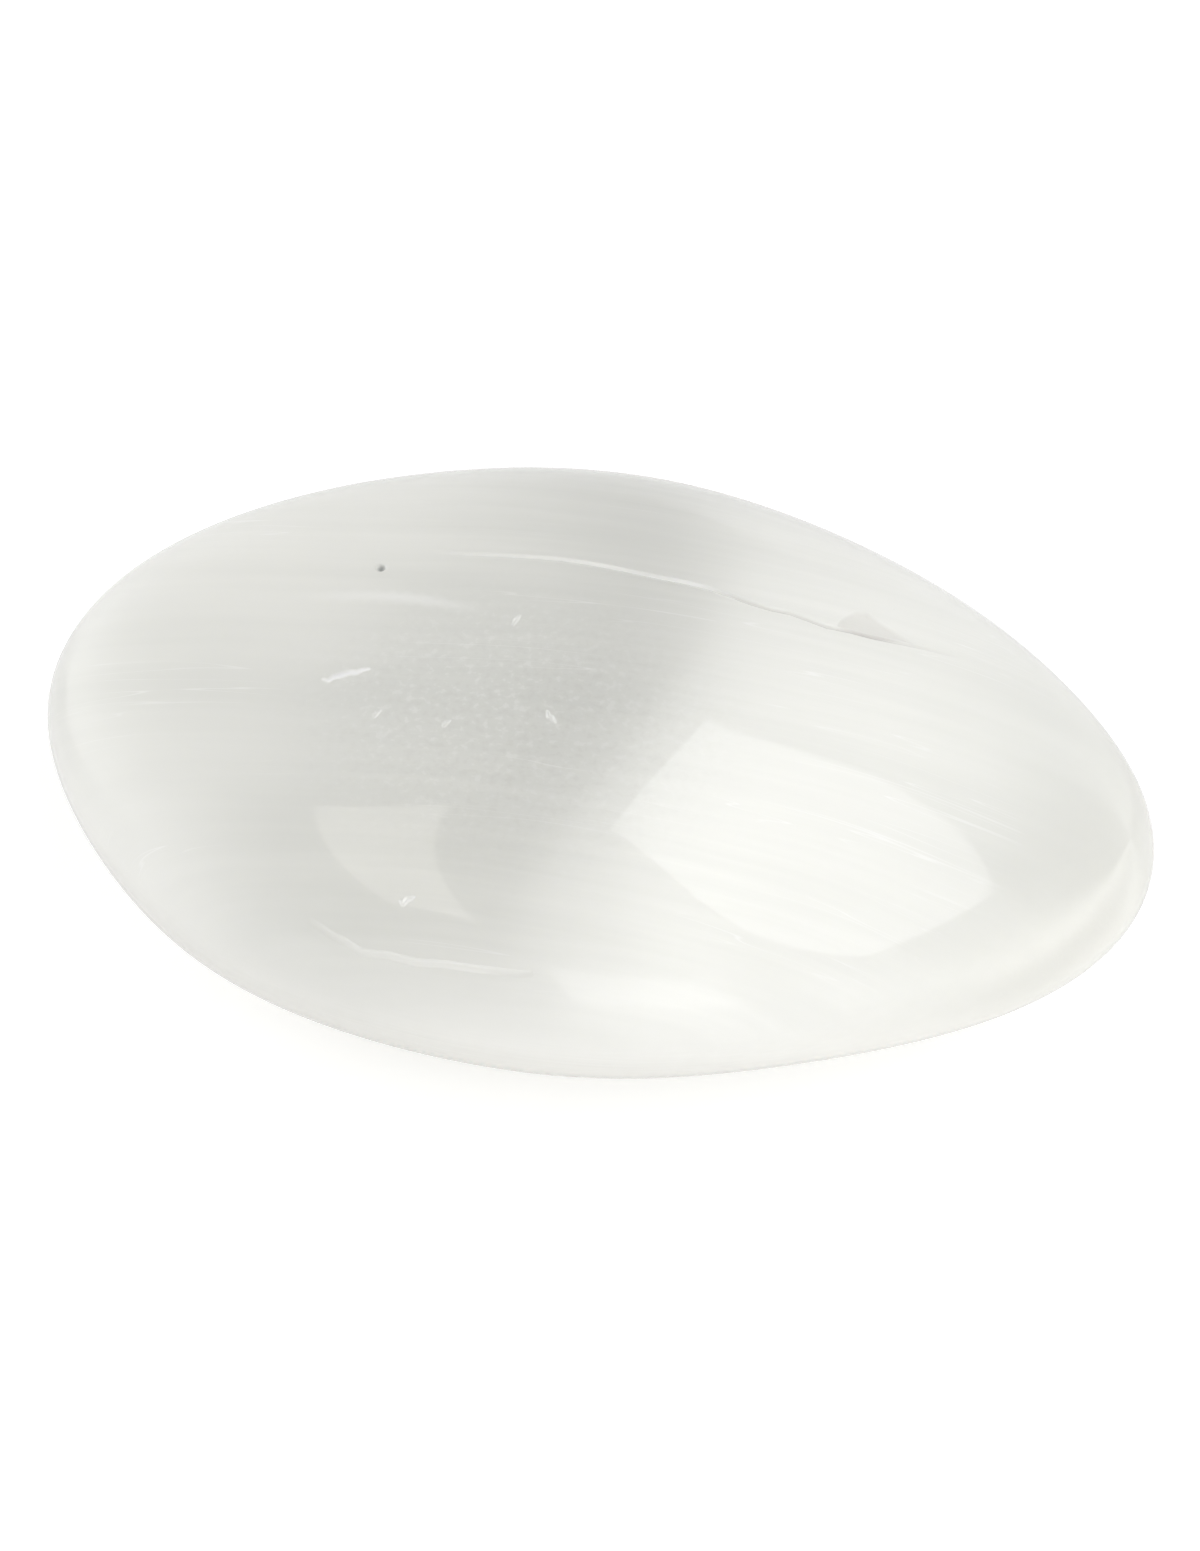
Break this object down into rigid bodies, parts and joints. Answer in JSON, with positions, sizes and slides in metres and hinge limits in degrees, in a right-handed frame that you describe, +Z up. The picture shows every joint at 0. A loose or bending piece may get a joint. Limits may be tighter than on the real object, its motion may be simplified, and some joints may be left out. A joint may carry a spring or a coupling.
{
  "type": "tumbled selenite",
  "caption": "Oval tumbled stone of milky fibrous selenite, worn to a smooth rounded egg with a low slanting ridge and a ground flat foot to rest on.",
  "frame": {"origin": "middle of the stone's box, at its foot", "axes": "+X along the stone and its fibres towards the slimmer end, +Y towards the far side, +Z up"},
  "size_m": [0.0348, 0.0208, 0.0143],
  "materials": {
    "selenite": "tumble-polished satin spar: milky white, slightly translucent, with a silky band across straight fibres"
  },
  "bodies": {
    "root": {"selenite_stone": "selenite"}
  },
  "joints": []
}
